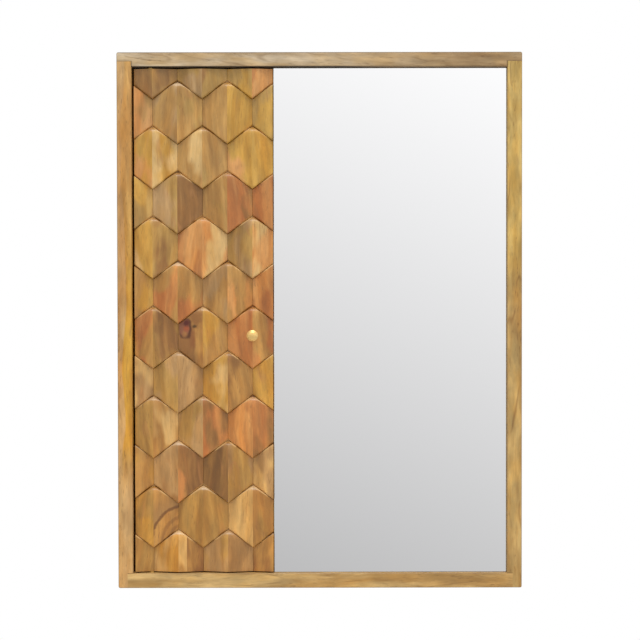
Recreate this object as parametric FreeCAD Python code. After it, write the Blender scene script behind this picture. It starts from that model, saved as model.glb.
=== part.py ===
import FreeCAD, Part
import math
import os

# Wall-hung mirror cabinet: a solid wood box with a narrow carved door on the left and a fixed
# mirror beside it. Millimetres. Origin: middle of the back face, on the wall. +X is right as the
# cabinet is looked at, +Y runs into the wall, +Z is up.

# Carcass boards
WIDTH = 600.0
HEIGHT = 795.0
DEPTH = 130.0
BOARD = 22.0
CORNER_LAP = 13.5
EDGE_ROUND = 1.5
CORNER_ROUND = 2.5

# Back panel, held in a rebate round the rear of the carcass
BACK_THICK = 6.0
BACK_REBATE = 6.0
BACK_CLEARANCE = 0.5
PANEL_PINS_PER_BAY = 2
PANEL_PIN_R = 0.7
PANEL_PIN_HEAD_R = 1.5
PANEL_PIN_HEAD = 0.8
PANEL_PIN_LENGTH = 16.0

# Carved door
DOOR_WIDTH = 205.6
DOOR_SIDE_GAP = 3.2
DOOR_LIFT_PLAY = 0.3
DOOR_SEAM_GAP = 1.0
DOOR_RECESS = 1.0
DOOR_BOARD = 12.0

# Carved tiles: upright hexagons, each a low gable with its ridge upright
COLUMN_PITCH = 74.0
ROW_PITCH = 66.7
TILE_SIDE = 43.0
TILE_JOINT = 0.4
TILE_EDGE = 6.0
TILE_RISE = 9.0
RIDGE_ROUND = 12.0
TOP_LEAN = 1.2
TOP_ROUND = 2.0
BOTTOM_LEAN = 0.8
TILE_LEAST = 8.0
FIRST_ROW_OVER_DOOR = 0.7
PATTERN_SHIFT = -1.7

# Knob, on the right-hand tile of one row
KNOB_ROW = 6
KNOB_COLUMN = 1
KNOB_RAISE = 4.5
KNOB_R = 8.5
KNOB_NECK_R = 4.0
KNOB_SEAT_R = 6.0
KNOB_SEAT_DEPTH = 1.6
KNOB_SEAT_THICK = 2.5
KNOB_LENGTH = 19.0
KNOB_DOME = 3.0
KNOB_FLAT_R = 2.0
KNOB_RIM = 3.0
KNOB_BORE_DEPTH = 11.0
KNOB_SCREW_R = 2.0
KNOB_SCREW_CLEARANCE = 0.15
KNOB_SCREW_HEAD_R = 4.5
KNOB_SCREW_HEAD = 2.2

# Pivot hinges above and below the door, their plates let in flush
PIVOT_FROM_EDGE = 24.0
PIVOT_BEHIND_RIDGE = 14.0
PIVOT_PIN_R = 2.5
PIVOT_RUNNING_CLEARANCE = 0.05
PIVOT_PIN_OVERRUN = 2.0
PIVOT_PIN_TIP = 0.6
PIN_END_CLEARANCE = 0.8
WASHER_R = 4.4
WASHER_CLEARANCE = 0.05
WASHER_THICK = 1.7
PIVOT_PLATE = 2.5
PLATE_BEFORE_PIVOT = 8.0
PLATE_AFTER_PIVOT = 44.0
PLATE_FRONT = 4.5
PLATE_REAR = 8.5
PLATE_CORNER = 3.5
PLATE_SCREW_NEAR = 18.0
PLATE_SCREW_FAR = 35.0
PLATE_SCREW_BEHIND_PIVOT = 4.0

# Mirror and what carries it
MIRROR_RECESS = 8.0
GLASS_THICK = 4.0
GLASS_BEVEL = 0.6
MIRROR_BOARD = 18.0
MIRROR_TOP_GAP = 0.8
MIRROR_BOTTOM_GAP = 0.5
MIRROR_SIDE_GAP = 0.5
CLEAT = 20.0
CLEAT_END_GAP = 1.0
CLEAT_SCREW_BITE = 11.0
CLEAT_SCREWS = 3

# Partition and shelves of the storage side
PARTITION = 20.0
DOOR_LAND = 12.0
PARTITION_HOUSING = 6.0
SHELF = 12.0
SHELF_COUNT = 3
SHELF_HOUSING = 5.0
SHELF_SWING_CLEARANCE = 2.5
SHELF_EDGE_ROUND = 2.0
BUMPER_R = 4.5
BUMPER_CLEARANCE = 0.2
BUMPER_FROM_END = 45.0

# Magnetic catch
CATCH_BAY = 1
CATCH_BELOW_SHELF = 65.0
CATCH_WIDE = 14.0
CATCH_DEEP = 18.0
CATCH_TALL = 34.0
CATCH_EAR = 10.0
CATCH_EAR_THICK = 3.0
CATCH_WALL = 2.0
MAGNET_THICK = 5.0
POLE_THICK = 1.2
POLE_PROUD = 0.5
POLE_DEEP = 12.0
STRIKE_THICK = 1.2
STRIKE_AIR = 0.3
STRIKE_WIDE = 12.0
STRIKE_TALL = 40.0
STRIKE_SCREW_INSET = 4.0
STRIKE_SCREW_LENGTH = 9.0

# Keyhole hangers in the rear edges of the sides
HANGER_BELOW_TOP = 60.0
HANGER_WIDE = 12.0
HANGER_ABOVE_ENTRY = 25.0
HANGER_BELOW_ENTRY = 19.0
HANGER_THICK = 2.0
HANGER_ENTRY_R = 4.25
HANGER_SLOT_R = 2.25
HANGER_SLOT_RISE = 9.0
HANGER_HEAD_ROOM = 0.5
HANGER_HEAD_DEPTH = 9.0
HANGER_SCREW_INSET = 4.5

# Countersunk wood screws
WOOD_SCREW_R = 1.5
WOOD_SCREW_HEAD_R = 2.9
WOOD_SCREW_HEAD = 1.6
WOOD_SCREW_TIP = 3.0
WOOD_SCREW_LENGTH = 16.0

# Planes and edges that follow from the sizes above
V = FreeCAD.Vector
RIGHT = WIDTH / 2
LEFT = -RIGHT
TOP = HEIGHT / 2
BOTTOM = -TOP
FRONT = -DEPTH
REAR = 0.0
INNER_RIGHT = RIGHT - BOARD
INNER_LEFT = -INNER_RIGHT
INNER_TOP = TOP - BOARD
INNER_BOTTOM = -INNER_TOP
HOUSING = BOARD - CORNER_LAP
BACK_FRONT = REAR - BACK_THICK

DOOR_LEFT = INNER_LEFT + DOOR_SIDE_GAP
DOOR_RIGHT = DOOR_LEFT + DOOR_WIDTH
DOOR_TOP = INNER_TOP - WASHER_THICK - DOOR_LIFT_PLAY
DOOR_BOTTOM = INNER_BOTTOM + WASHER_THICK
RIDGE_PLANE = FRONT + DOOR_RECESS
TILE_BACK = RIDGE_PLANE + TILE_EDGE + TILE_RISE
DOOR_REAR = TILE_BACK + DOOR_BOARD

PATTERN_X = (DOOR_LEFT + DOOR_RIGHT) / 2 + PATTERN_SHIFT
FIRST_ROW_Z = DOOR_TOP + FIRST_ROW_OVER_DOOR
TILE_HALF = (COLUMN_PITCH - TILE_JOINT) / 2
TILE_SHOULDER = (TILE_SIDE - TILE_JOINT) / 2
TILE_TIP = ROW_PITCH - (TILE_SIDE + TILE_JOINT) / 2
KNOB_X = PATTERN_X + KNOB_COLUMN * COLUMN_PITCH
KNOB_Z = FIRST_ROW_Z - KNOB_ROW * ROW_PITCH + KNOB_RAISE
KNOB_FOOT = RIDGE_PLANE + KNOB_SEAT_DEPTH

PIVOT_X = DOOR_LEFT + PIVOT_FROM_EDGE
PIVOT_Y = RIDGE_PLANE + PIVOT_BEHIND_RIDGE
PLATE_SCREW_Y = PIVOT_Y + PLATE_SCREW_BEHIND_PIVOT

GLASS_FRONT = FRONT + MIRROR_RECESS
GLASS_REAR = GLASS_FRONT + GLASS_THICK
MIRROR_REAR = GLASS_REAR + MIRROR_BOARD
MIRROR_LEFT = DOOR_RIGHT + DOOR_SEAM_GAP
MIRROR_RIGHT = INNER_RIGHT - MIRROR_SIDE_GAP
MIRROR_TOP = INNER_TOP - MIRROR_TOP_GAP
MIRROR_BOTTOM = INNER_BOTTOM + MIRROR_BOTTOM_GAP
CLEAT_REAR = MIRROR_REAR + CLEAT

PARTITION_LEFT = DOOR_RIGHT - DOOR_LAND
PARTITION_RIGHT = PARTITION_LEFT + PARTITION
SWING_RADIUS = (PIVOT_FROM_EDGE ** 2 + (DOOR_REAR - PIVOT_Y) ** 2) ** 0.5
SHELF_FRONT = PIVOT_Y + SWING_RADIUS + SHELF_SWING_CLEARANCE
BAY_HEIGHT = (INNER_TOP - INNER_BOTTOM - SHELF_COUNT * SHELF) / (SHELF_COUNT + 1)

CATCH_Z = INNER_BOTTOM + CATCH_BAY * (BAY_HEIGHT + SHELF) + BAY_HEIGHT - CATCH_BELOW_SHELF
CATCH_X = PARTITION_LEFT - CATCH_WIDE / 2
POLE_FRONT = DOOR_REAR + STRIKE_THICK + STRIKE_AIR
CATCH_FRONT = POLE_FRONT + POLE_PROUD

HANGER_X = RIGHT - (BOARD - BACK_REBATE) / 2
HANGER_Z = TOP - HANGER_BELOW_TOP


def block(x, y, z):
    """Box between pairs of x, y and z."""
    return Part.makeBox(x[1] - x[0], y[1] - y[0], z[1] - z[0], V(x[0], y[0], z[0]))


def at(radius, along):
    """Point of a turned profile, before it is spun."""
    return V(radius, 0, along)


def turned(profile, foot, direction):
    """Solid of revolution from (radius, distance along the axis) points."""
    points = [at(radius, along) for radius, along in profile]
    face = Part.Face(Part.makePolygon(points + points[:1]))
    solid = face.revolve(V(0, 0, 0), V(0, 0, 1), 360)
    solid.Placement = FreeCAD.Placement(foot, FreeCAD.Rotation(V(0, 0, 1), direction))
    return solid


def round_edges(solid, radius, wanted):
    """Fillet the edges whose two ends satisfy a test."""
    edges = []
    for edge in solid.Edges:
        ends = [vertex.Point for vertex in edge.Vertexes]
        if len(ends) == 2 and wanted(ends[0], ends[1]):
            edges.append(edge)
    return solid.makeFillet(radius, edges)


def same(a, b):
    return abs(a - b) < 0.001


def without(solid, cutters):
    """Cut a list of shapes away and keep the one solid that is left."""
    return solid.cut(Part.makeCompound(cutters)).Solids[0]


def countersunk(foot, direction, length):
    """Wood screw with its head flush at foot, driven along direction."""
    profile = [
        (0, 0),
        (WOOD_SCREW_HEAD_R, 0),
        (WOOD_SCREW_R, WOOD_SCREW_HEAD),
        (WOOD_SCREW_R, length - WOOD_SCREW_TIP),
        (0, length),
    ]
    return turned(profile, foot, direction)


def between(low, high, count):
    """Places evenly spread between two ends, neither included."""
    step = (high - low) / (count + 1)
    return [low + step * (i + 1) for i in range(count)]


# Pivot hinges

def plate_outline(low, high):
    plate = block(
        (PIVOT_X - PLATE_BEFORE_PIVOT, PIVOT_X + PLATE_AFTER_PIVOT),
        (PIVOT_Y - PLATE_FRONT, PIVOT_Y + PLATE_REAR),
        (low, high),
    )
    return round_edges(plate, PLATE_CORNER, lambda a, b: not same(a.z, b.z))


def plate_screws(z, direction):
    screws = []
    for step in (PLATE_SCREW_NEAR, PLATE_SCREW_FAR):
        foot = V(PIVOT_X + step, PLATE_SCREW_Y, z)
        screws.append(countersunk(foot, direction, WOOD_SCREW_LENGTH))
    return screws


def pivot_hinge(board_face, door_edge, towards_door):
    """One hinge: a plate let into the board's face, another into the door's edge, a pin through both."""
    up = V(0, 0, towards_door)
    board_inside = board_face - towards_door * PIVOT_PLATE
    door_inside = door_edge + towards_door * PIVOT_PLATE
    pin_end = door_inside + towards_door * PIVOT_PIN_OVERRUN
    pin_length = abs(pin_end - board_inside)
    axis_at = V(PIVOT_X, PIVOT_Y, board_inside)
    pin = turned(
        [
            (0, 0),
            (PIVOT_PIN_R, 0),
            (PIVOT_PIN_R, pin_length - PIVOT_PIN_TIP),
            (PIVOT_PIN_R - PIVOT_PIN_TIP, pin_length),
            (0, pin_length),
        ],
        axis_at,
        up,
    )
    frame_screws = plate_screws(board_face, -up)
    door_screws = plate_screws(door_edge, up)
    frame_plate = plate_outline(min(board_face, board_inside), max(board_face, board_inside))
    door_plate = plate_outline(min(door_edge, door_inside), max(door_edge, door_inside))
    pin_bore = Part.makeCylinder(
        PIVOT_PIN_R + PIVOT_RUNNING_CLEARANCE, pin_length, axis_at, up
    )
    pin_pocket = Part.makeCylinder(
        PIVOT_PIN_R + PIN_END_CLEARANCE, pin_length + PIN_END_CLEARANCE, axis_at, up
    )
    washer_in = PIVOT_PIN_R + WASHER_CLEARANCE
    washer = turned(
        [(washer_in, 0), (WASHER_R, 0), (WASHER_R, WASHER_THICK), (washer_in, WASHER_THICK)],
        V(PIVOT_X, PIVOT_Y, board_face),
        up,
    )
    return {
        "frame_plate": without(frame_plate, frame_screws + [pin]),
        "door_plate": without(door_plate, door_screws + [pin_bore]),
        "pin": pin,
        "washer": washer,
        "frame_screws": frame_screws,
        "door_screws": door_screws,
        "board_cutters": [frame_plate] + frame_screws,
        "door_cutters": [door_plate, pin_pocket] + door_screws,
    }


# Keyhole hangers

def hanger(x):
    """Steel plate let in flush: the screw head goes in at the round, the shank up the slot."""
    plate = block(
        (x - HANGER_WIDE / 2, x + HANGER_WIDE / 2),
        (REAR - HANGER_THICK, REAR),
        (HANGER_Z - HANGER_BELOW_ENTRY, HANGER_Z + HANGER_ABOVE_ENTRY),
    )
    inward = V(0, -1, 0)
    slot_top = HANGER_Z + HANGER_SLOT_RISE
    entry = Part.makeCylinder(HANGER_ENTRY_R, HANGER_THICK, V(x, REAR, HANGER_Z), inward)
    slot_end = Part.makeCylinder(HANGER_SLOT_R, HANGER_THICK, V(x, REAR, slot_top), inward)
    slot = block(
        (x - HANGER_SLOT_R, x + HANGER_SLOT_R), (REAR - HANGER_THICK, REAR), (HANGER_Z, slot_top)
    )
    screws = []
    for z in (
        HANGER_Z - HANGER_BELOW_ENTRY + HANGER_SCREW_INSET,
        HANGER_Z + HANGER_ABOVE_ENTRY - HANGER_SCREW_INSET,
    ):
        screws.append(countersunk(V(x, REAR, z), inward, WOOD_SCREW_LENGTH))
    room = HANGER_ENTRY_R + HANGER_HEAD_ROOM
    head_pocket = block(
        (x - room, x + room), (REAR - HANGER_HEAD_DEPTH, REAR), (HANGER_Z - room, slot_top + room)
    )
    return {
        "plate": without(plate, [entry, slot_end, slot] + screws),
        "screws": screws,
        "side_cutters": [plate, head_pocket] + screws,
    }


# Mirror

def mirror_outline(y_front, y_rear):
    return block((MIRROR_LEFT, MIRROR_RIGHT), (y_front, y_rear), (MIRROR_BOTTOM, MIRROR_TOP))


def mirror_glass():
    """Flat float glass, its front arris ground off all round."""
    glass = mirror_outline(GLASS_FRONT, GLASS_REAR)
    front = [e for e in glass.Edges if all(same(v.Y, GLASS_FRONT) for v in e.Vertexes)]
    return glass.makeChamfer(GLASS_BEVEL, front)


def mirror_cleats():
    """Square battens on the four walls of the mirror's bay, behind its board."""
    across = (PARTITION_RIGHT, INNER_RIGHT)
    deep = (MIRROR_REAR, CLEAT_REAR)
    upright = (INNER_BOTTOM + CLEAT + CLEAT_END_GAP, INNER_TOP - CLEAT - CLEAT_END_GAP)
    return {
        "top": block(across, deep, (INNER_TOP - CLEAT, INNER_TOP)),
        "bottom": block(across, deep, (INNER_BOTTOM, INNER_BOTTOM + CLEAT)),
        "left": block((PARTITION_RIGHT, PARTITION_RIGHT + CLEAT), deep, upright),
        "right": block((INNER_RIGHT - CLEAT, INNER_RIGHT), deep, upright),
    }


def cleat_screws(cleat):
    """Screws from behind, through a batten and into the mirror's board."""
    box = cleat.BoundBox
    middle = box.Center
    if box.XLength > box.ZLength:
        feet = [V(x, CLEAT_REAR, middle.z) for x in between(box.XMin, box.XMax, CLEAT_SCREWS)]
    else:
        feet = [V(middle.x, CLEAT_REAR, z) for z in between(box.ZMin, box.ZMax, CLEAT_SCREWS)]
    return [countersunk(foot, V(0, -1, 0), CLEAT + CLEAT_SCREW_BITE) for foot in feet]


# Partition and shelves

def partition_blank():
    return block(
        (PARTITION_LEFT, PARTITION_RIGHT),
        (MIRROR_REAR, BACK_FRONT),
        (INNER_BOTTOM - PARTITION_HOUSING, INNER_TOP + PARTITION_HOUSING),
    )


def shelf(index):
    """Thin board housed at both ends, with a rounded front edge."""
    low = INNER_BOTTOM + (index + 1) * BAY_HEIGHT + index * SHELF
    board = block(
        (INNER_LEFT - SHELF_HOUSING, PARTITION_LEFT + SHELF_HOUSING),
        (SHELF_FRONT, BACK_FRONT),
        (low, low + SHELF),
    )
    return round_edges(
        board, SHELF_EDGE_ROUND, lambda a, b: same(a.y, SHELF_FRONT) and same(b.y, a.y) and same(a.z, b.z)
    )


def bumpers():
    discs = []
    for z in (DOOR_BOTTOM + BUMPER_FROM_END, DOOR_TOP - BUMPER_FROM_END):
        foot = V(PARTITION_LEFT + DOOR_LAND / 2, MIRROR_REAR, z)
        thick = MIRROR_REAR - DOOR_REAR - BUMPER_CLEARANCE
        discs.append(turned([(0, 0), (BUMPER_R, 0), (BUMPER_R, thick), (0, thick)], foot, V(0, -1, 0)))
    return discs


# Magnetic catch

def catch():
    """Moulded block with two ears, holding a magnet between two steel poles."""
    across = (PARTITION_LEFT - CATCH_WIDE, PARTITION_LEFT)
    deep = (CATCH_FRONT, CATCH_FRONT + CATCH_DEEP)
    low = CATCH_Z - CATCH_TALL / 2
    high = CATCH_Z + CATCH_TALL / 2
    body = block(across, deep, (low, high))
    ears = block(
        (PARTITION_LEFT - CATCH_EAR_THICK, PARTITION_LEFT), deep, (low - CATCH_EAR, high + CATCH_EAR)
    )
    screws = []
    for z in (low - CATCH_EAR / 2, high + CATCH_EAR / 2):
        foot = V(PARTITION_LEFT - CATCH_EAR_THICK, CATCH_FRONT + CATCH_DEEP / 2, z)
        screws.append(countersunk(foot, V(1, 0, 0), WOOD_SCREW_LENGTH))
    inside = (low + CATCH_WALL, high - CATCH_WALL)
    half = MAGNET_THICK / 2
    magnet = block((CATCH_X - half, CATCH_X + half), (CATCH_FRONT, CATCH_FRONT + POLE_DEEP), inside)
    pole_deep = (POLE_FRONT, CATCH_FRONT + POLE_DEEP)
    poles = [
        block((CATCH_X - half - POLE_THICK, CATCH_X - half), pole_deep, inside),
        block((CATCH_X + half, CATCH_X + half + POLE_THICK), pole_deep, inside),
    ]
    return {
        "housing": without(body.fuse(ears).removeSplitter(), screws + poles + [magnet]),
        "magnet": magnet,
        "poles": poles,
        "screws": screws,
    }


def strike():
    """Steel plate on the back of the door, facing the magnet."""
    rear = DOOR_REAR + STRIKE_THICK
    plate = block(
        (CATCH_X - STRIKE_WIDE / 2, CATCH_X + STRIKE_WIDE / 2),
        (DOOR_REAR, rear),
        (CATCH_Z - STRIKE_TALL / 2, CATCH_Z + STRIKE_TALL / 2),
    )
    reach = STRIKE_TALL / 2 - STRIKE_SCREW_INSET
    screws = []
    for z in (CATCH_Z - reach, CATCH_Z + reach):
        screws.append(countersunk(V(CATCH_X, rear, z), V(0, -1, 0), STRIKE_SCREW_LENGTH))
    return {"plate": without(plate, screws), "screws": screws}


# Knob

def knob_blank():
    """Turned brass knob: seat, waisted neck, round rim and a low dome."""
    rim_start = KNOB_LENGTH - KNOB_DOME - KNOB_RIM
    neck_middle = (KNOB_SEAT_THICK + rim_start) / 2
    rim_end = KNOB_LENGTH - KNOB_DOME
    rim_middle = (rim_start + rim_end) / 2
    rim_flat = KNOB_R - KNOB_RIM / 2
    dome_middle = at((rim_flat + KNOB_FLAT_R) / 2, KNOB_LENGTH - KNOB_DOME / 3)
    edges = [
        Part.LineSegment(at(0, 0), at(KNOB_SEAT_R, 0)),
        Part.LineSegment(at(KNOB_SEAT_R, 0), at(KNOB_SEAT_R, KNOB_SEAT_THICK)),
        Part.Arc(at(KNOB_SEAT_R, KNOB_SEAT_THICK), at(KNOB_NECK_R, neck_middle), at(rim_flat, rim_start)),
        Part.Arc(at(rim_flat, rim_start), at(KNOB_R, rim_middle), at(rim_flat, rim_end)),
        Part.Arc(at(rim_flat, rim_end), dome_middle, at(KNOB_FLAT_R, KNOB_LENGTH)),
        Part.LineSegment(at(KNOB_FLAT_R, KNOB_LENGTH), at(0, KNOB_LENGTH)),
        Part.LineSegment(at(0, KNOB_LENGTH), at(0, 0)),
    ]
    face = Part.Face(Part.Wire([edge.toShape() for edge in edges]))
    solid = face.revolve(V(0, 0, 0), V(0, 0, 1), 360)
    turn = FreeCAD.Rotation(V(0, 0, 1), V(0, -1, 0))
    solid.Placement = FreeCAD.Placement(V(KNOB_X, KNOB_FOOT, KNOB_Z), turn)
    return solid


def knob_screw():
    """Pan-head machine screw from behind the door into the knob."""
    reach = DOOR_REAR - KNOB_FOOT + KNOB_BORE_DEPTH + KNOB_SCREW_HEAD
    profile = [
        (0, 0),
        (KNOB_SCREW_HEAD_R, 0),
        (KNOB_SCREW_HEAD_R, KNOB_SCREW_HEAD),
        (KNOB_SCREW_R, KNOB_SCREW_HEAD),
        (KNOB_SCREW_R, reach),
        (0, reach),
    ]
    return turned(profile, V(KNOB_X, DOOR_REAR + KNOB_SCREW_HEAD, KNOB_Z), V(0, -1, 0))


def knob_cutters():
    """Flat seat for the knob on the tile's ridge, and the screw's way through the door."""
    seat = Part.makeCylinder(
        KNOB_SEAT_R, KNOB_SEAT_DEPTH, V(KNOB_X, RIDGE_PLANE, KNOB_Z), V(0, 1, 0)
    )
    way = Part.makeCylinder(
        KNOB_SCREW_R + KNOB_SCREW_CLEARANCE,
        DOOR_REAR - RIDGE_PLANE,
        V(KNOB_X, RIDGE_PLANE, KNOB_Z),
        V(0, 1, 0),
    )
    return [seat, way]


# Carved tiles

def hexagon(x, z, y, top_drop, bottom_lift):
    """Upright hexagon at depth y, its upper and lower slants moved towards the middle."""
    corners = [
        V(x, y, z + TILE_TIP - top_drop),
        V(x + TILE_HALF, y, z + TILE_SHOULDER - top_drop),
        V(x + TILE_HALF, y, z - TILE_SHOULDER + bottom_lift),
        V(x, y, z - TILE_TIP + bottom_lift),
        V(x - TILE_HALF, y, z - TILE_SHOULDER + bottom_lift),
        V(x - TILE_HALF, y, z + TILE_SHOULDER - top_drop),
    ]
    return Part.makePolygon(corners + corners[:1])


def gable(x, z):
    """Long prism with an upright rounded ridge, which gives a tile its two faces."""
    half = COLUMN_PITCH / 2
    edge_y = TILE_BACK - TILE_EDGE
    profile = [
        V(x - half, TILE_BACK, z - ROW_PITCH),
        V(x - half, edge_y, z - ROW_PITCH),
        V(x, RIDGE_PLANE, z - ROW_PITCH),
        V(x + half, edge_y, z - ROW_PITCH),
        V(x + half, TILE_BACK, z - ROW_PITCH),
    ]
    prism = Part.Face(Part.makePolygon(profile + profile[:1])).extrude(V(0, 0, 2 * ROW_PITCH))
    return round_edges(
        prism, RIDGE_ROUND, lambda a, b: same(a.y, RIDGE_PLANE) and same(b.y, RIDGE_PLANE)
    )


def tile(x, z):
    """One hexagon: its upper arrises are rounded over so that the row above stands clear of it."""
    back = hexagon(x, z, TILE_BACK, 0, 0)
    front = hexagon(x, z, RIDGE_PLANE, TOP_LEAN, BOTTOM_LEAN)
    body = Part.makeLoft([back, front], True, True).common(gable(x, z)).Solids[0]
    shoulder = z + TILE_SHOULDER - TOP_LEAN
    body = round_edges(
        body, TOP_ROUND, lambda a, b: min(a.z, b.z) > shoulder and max(a.y, b.y) <= TILE_BACK - TILE_EDGE
    )
    door = block((DOOR_LEFT, DOOR_RIGHT), (RIDGE_PLANE, TILE_BACK), (DOOR_BOTTOM, DOOR_TOP))
    return body.common(door).Solids[0]


def shows(x, z):
    """True for a tile that reaches far enough into the door to be worth fixing."""
    outside = abs(min(max(x, DOOR_LEFT), DOOR_RIGHT) - x)
    slope = (TILE_TIP - TILE_SHOULDER) / TILE_HALF
    highest = z + TILE_TIP - TOP_LEAN - slope * outside
    return outside < TILE_HALF - TILE_LEAST and highest > DOOR_BOTTOM + TILE_LEAST


def row_places(row):
    """Middles of a row's tiles: every second row is moved by half a tile."""
    z = FIRST_ROW_Z - row * ROW_PITCH
    middle = PATTERN_X + row % 2 * COLUMN_PITCH / 2
    steps = math.ceil(DOOR_WIDTH / COLUMN_PITCH)
    places = [(middle + step * COLUMN_PITCH, z) for step in range(-steps, steps + 1)]
    return [place for place in places if shows(*place)]


def tile_row(row, cutters):
    return [without(tile(x, z), cutters) for x, z in row_places(row)]


# Carcass

def back_panel_blank():
    reach = BACK_REBATE - BACK_CLEARANCE
    return block(
        (INNER_LEFT - reach, INNER_RIGHT + reach),
        (BACK_FRONT, REAR),
        (INNER_BOTTOM - reach, INNER_TOP + reach),
    )


def back_rebate():
    return block(
        (INNER_LEFT - BACK_REBATE, INNER_RIGHT + BACK_REBATE),
        (BACK_FRONT, REAR),
        (INNER_BOTTOM - BACK_REBATE, INNER_TOP + BACK_REBATE),
    )


def panel_pins():
    """Small nails round the rim of the back panel."""
    inset = BACK_REBATE / 2
    left = INNER_LEFT - inset
    low = INNER_BOTTOM - inset
    places = []
    for start, end in ((INNER_LEFT, PARTITION_LEFT), (PARTITION_RIGHT, INNER_RIGHT)):
        for x in between(start, end, PANEL_PINS_PER_BAY):
            places += [(x, low), (x, -low)]
    for bay in range(SHELF_COUNT + 1):
        bay_low = INNER_BOTTOM + bay * (BAY_HEIGHT + SHELF)
        for z in between(bay_low, bay_low + BAY_HEIGHT, PANEL_PINS_PER_BAY):
            places += [(left, z), (-left, z)]
    profile = [
        (0, 0),
        (PANEL_PIN_HEAD_R, 0),
        (PANEL_PIN_HEAD_R, PANEL_PIN_HEAD),
        (PANEL_PIN_R, PANEL_PIN_HEAD),
        (PANEL_PIN_R, PANEL_PIN_LENGTH),
        (0, PANEL_PIN_LENGTH),
    ]
    return [turned(profile, V(x, REAR, z), V(0, -1, 0)) for x, z in places]


def front_arris(a, b, along):
    """True for an edge on the front plane that runs along the board."""
    on_front = same(a.y, FRONT) and same(b.y, FRONT)
    if along == "x":
        return on_front and same(a.z, b.z) and abs(a.x - b.x) > WIDTH / 2
    return on_front and same(a.x, b.x) and abs(a.z - b.z) > HEIGHT / 2


def ease_corners(board, z):
    """Round the outside corners of the box, seen from the front, at one height."""
    def corner(a, b):
        return same(a.z, z) and same(b.z, z) and same(abs(a.x), RIGHT) and same(a.x, b.x)

    return round_edges(board, CORNER_ROUND, corner)


def top_board(cutters):
    """Laps over both sides: a rabbet under each end takes the side's end."""
    board = block((LEFT, RIGHT), (FRONT, REAR), (INNER_TOP, TOP))
    board = round_edges(ease_corners(board, TOP), EDGE_ROUND, lambda a, b: front_arris(a, b, "x"))
    rabbet = (INNER_TOP, INNER_TOP + HOUSING)
    left_end = block((LEFT, INNER_LEFT), (FRONT, REAR), rabbet)
    right_end = block((INNER_RIGHT, RIGHT), (FRONT, REAR), rabbet)
    return without(board, [left_end, right_end] + cutters)


def bottom_board(cutters):
    """Sits between the sides, its ends let into them."""
    board = block((LEFT + CORNER_LAP, RIGHT - CORNER_LAP), (FRONT, REAR), (BOTTOM, INNER_BOTTOM))
    board = round_edges(board, EDGE_ROUND, lambda a, b: front_arris(a, b, "x"))
    return without(board, cutters)


def side_board(inner, outer, cutters):
    """Stands from the floor of the box up into the top board's rabbet."""
    board = block((min(inner, outer), max(inner, outer)), (FRONT, REAR), (BOTTOM, TOP - CORNER_LAP))
    board = round_edges(ease_corners(board, BOTTOM), EDGE_ROUND, lambda a, b: front_arris(a, b, "z"))
    lap = inner + HOUSING if outer > inner else inner - HOUSING
    housing = block((min(inner, lap), max(inner, lap)), (FRONT, REAR), (BOTTOM, INNER_BOTTOM))
    return without(board, [housing] + cutters)


# Assembly: hardware first, because the wooden pieces are cut to take it
os.makedirs("parts", exist_ok=True)
nodes = {}

hinge_top = pivot_hinge(INNER_TOP, DOOR_TOP, -1)
hinge_bottom = pivot_hinge(INNER_BOTTOM, DOOR_BOTTOM, 1)
hanger_left = hanger(-HANGER_X)
hanger_right = hanger(HANGER_X)
magnet_catch = catch()
strike_set = strike()
handle_screw = knob_screw()
handle_cutters = knob_cutters()
nails = panel_pins()
cleats = mirror_cleats()
mirror_screws = {place: cleat_screws(cleat) for place, cleat in cleats.items()}
all_mirror_screws = [screw for screws in mirror_screws.values() for screw in screws]
shelves = [shelf(index) for index in range(SHELF_COUNT)]
divider = partition_blank()
rebate = back_rebate()

nodes["top_board"] = top_board([rebate, divider] + hinge_top["board_cutters"] + nails)
nodes["bottom_board"] = bottom_board([rebate, divider] + hinge_bottom["board_cutters"] + nails)
nodes["left_side"] = side_board(
    INNER_LEFT, LEFT, [rebate] + shelves + hanger_left["side_cutters"] + nails
)
nodes["right_side"] = side_board(INNER_RIGHT, RIGHT, [rebate] + hanger_right["side_cutters"] + nails)
nodes["back_panel"] = without(back_panel_blank(), nails)
nodes["back_panel_pins"] = nails
nodes["partition"] = without(divider, shelves + magnet_catch["screws"])
for name, board in zip(("lower", "middle", "upper"), shelves):
    nodes["shelf_" + name] = board

nodes["mirror_glass"] = mirror_glass()
nodes["mirror_board"] = without(mirror_outline(GLASS_REAR, MIRROR_REAR), all_mirror_screws)
for place, cleat in cleats.items():
    nodes["mirror_cleat_" + place] = without(cleat, mirror_screws[place])
nodes["mirror_board_screws"] = all_mirror_screws

nodes["hanger_plate_left"] = hanger_left["plate"]
nodes["hanger_plate_right"] = hanger_right["plate"]
nodes["hanger_screws"] = hanger_left["screws"] + hanger_right["screws"]

for place, hinge in (("top", hinge_top), ("bottom", hinge_bottom)):
    nodes["pivot_frame_plate_" + place] = hinge["frame_plate"]
    nodes["pivot_pin_" + place] = hinge["pin"]
    nodes["pivot_washer_" + place] = hinge["washer"]
    nodes["pivot_door_plate_" + place] = hinge["door_plate"]
nodes["pivot_frame_screws"] = hinge_top["frame_screws"] + hinge_bottom["frame_screws"]
nodes["pivot_door_screws"] = hinge_top["door_screws"] + hinge_bottom["door_screws"]

nodes["door_bumpers"] = bumpers()
nodes["catch_housing"] = magnet_catch["housing"]
nodes["catch_magnet"] = magnet_catch["magnet"]
nodes["catch_poles"] = magnet_catch["poles"]
nodes["catch_screws"] = magnet_catch["screws"]
nodes["strike_plate"] = strike_set["plate"]
nodes["strike_screws"] = strike_set["screws"]

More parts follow.
